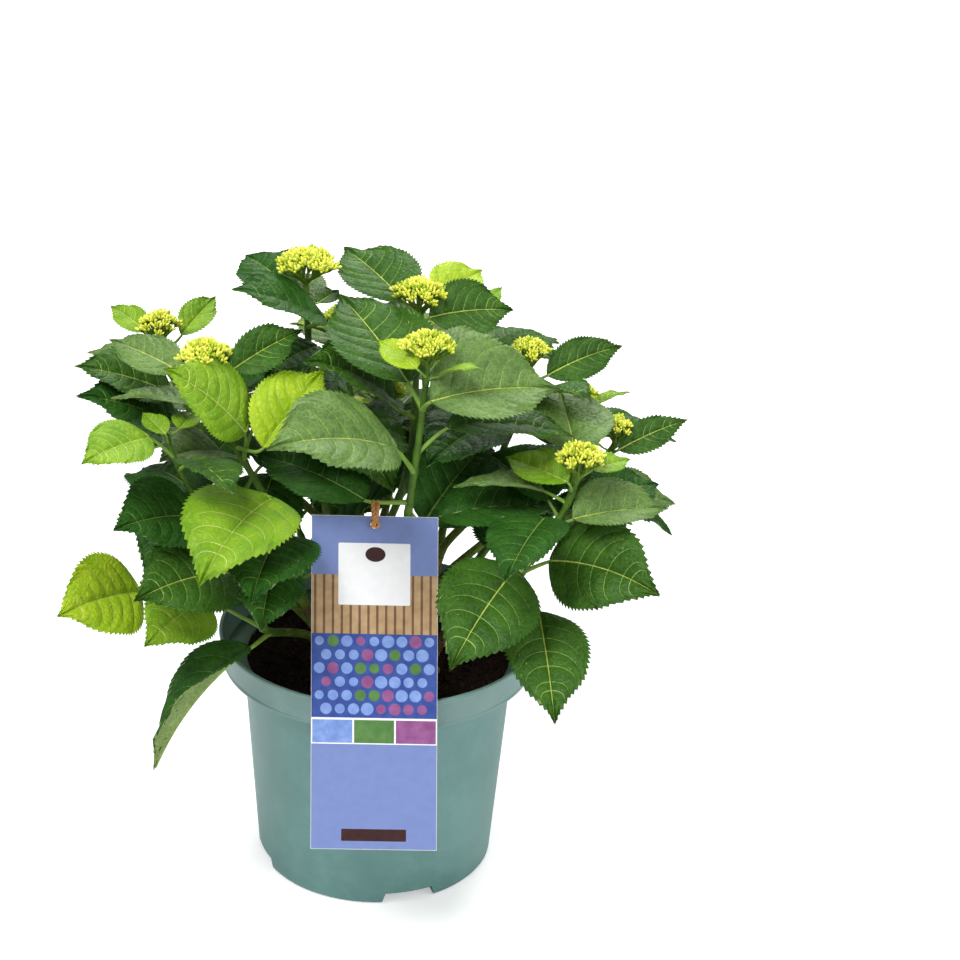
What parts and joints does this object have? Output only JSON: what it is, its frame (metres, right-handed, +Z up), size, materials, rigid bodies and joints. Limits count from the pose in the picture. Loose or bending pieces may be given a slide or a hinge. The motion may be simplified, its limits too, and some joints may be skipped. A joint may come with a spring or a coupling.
{
  "type": "potted hydrangea shrub",
  "caption": "Young garden shrub with broad toothed leaves and closed green bud clusters, in a round plastic nursery pot with a hanging label card.",
  "frame": {"origin": "centre of the pot's flat underside, z = 0 on the ground", "axes": "+Z up along the pot's axis, -Y towards the front of the shrub where the label card hangs, +X to the right seen from the front"},
  "size_m": [0.4339, 0.4058, 0.4528],
  "materials": {
    "pot": "dusty teal, slightly dusty",
    "soil": "dark damp peat",
    "wood": "young flecked bark",
    "bough": "green stem with brown flecks",
    "foliage": "satin leaf",
    "card": "printed plastic card, bare of text",
    "cord": "natural twine"
  },
  "bodies": {
    "root": {"pot": "pot", "soil": "soil", "cane_front": "wood", "cane_middle": "wood", "cane_left": "wood", "cane_right": "wood", "cane_right_rear": "wood", "cane_back": "wood", "bough_front": "bough", "bough_middle": "bough", "bough_crown": "bough", "bough_left_front": "bough", "bough_left_back": "bough", "bough_left_low": "bough", "bough_left_skirt": "bough", "bough_right_back": "bough", "bough_right_front": "bough", "bough_right_far": "bough", "bough_back_top": "bough", "bough_back_left": "bough", "bough_back_right": "bough", "bough_right_rear": "bough", "bough_back_low": "bough", "bough_back_skirt": "bough", "bough_rear_skirt": "bough", "foliage_front": "foliage", "foliage_middle": "foliage", "foliage_crown": "foliage", "foliage_left_front": "foliage", "foliage_left_back": "foliage", "foliage_left_low": "foliage", "foliage_left_skirt": "foliage", "foliage_right_back": "foliage", "foliage_right_front": "foliage", "foliage_right_far": "foliage", "foliage_back_top": "foliage", "foliage_back_left": "foliage", "foliage_back_right": "foliage", "foliage_right_rear": "foliage", "foliage_back_low": "foliage", "foliage_back_skirt": "foliage", "foliage_rear_skirt": "foliage", "tag_card": "card", "tag_loop": "cord"}
  },
  "joints": []
}
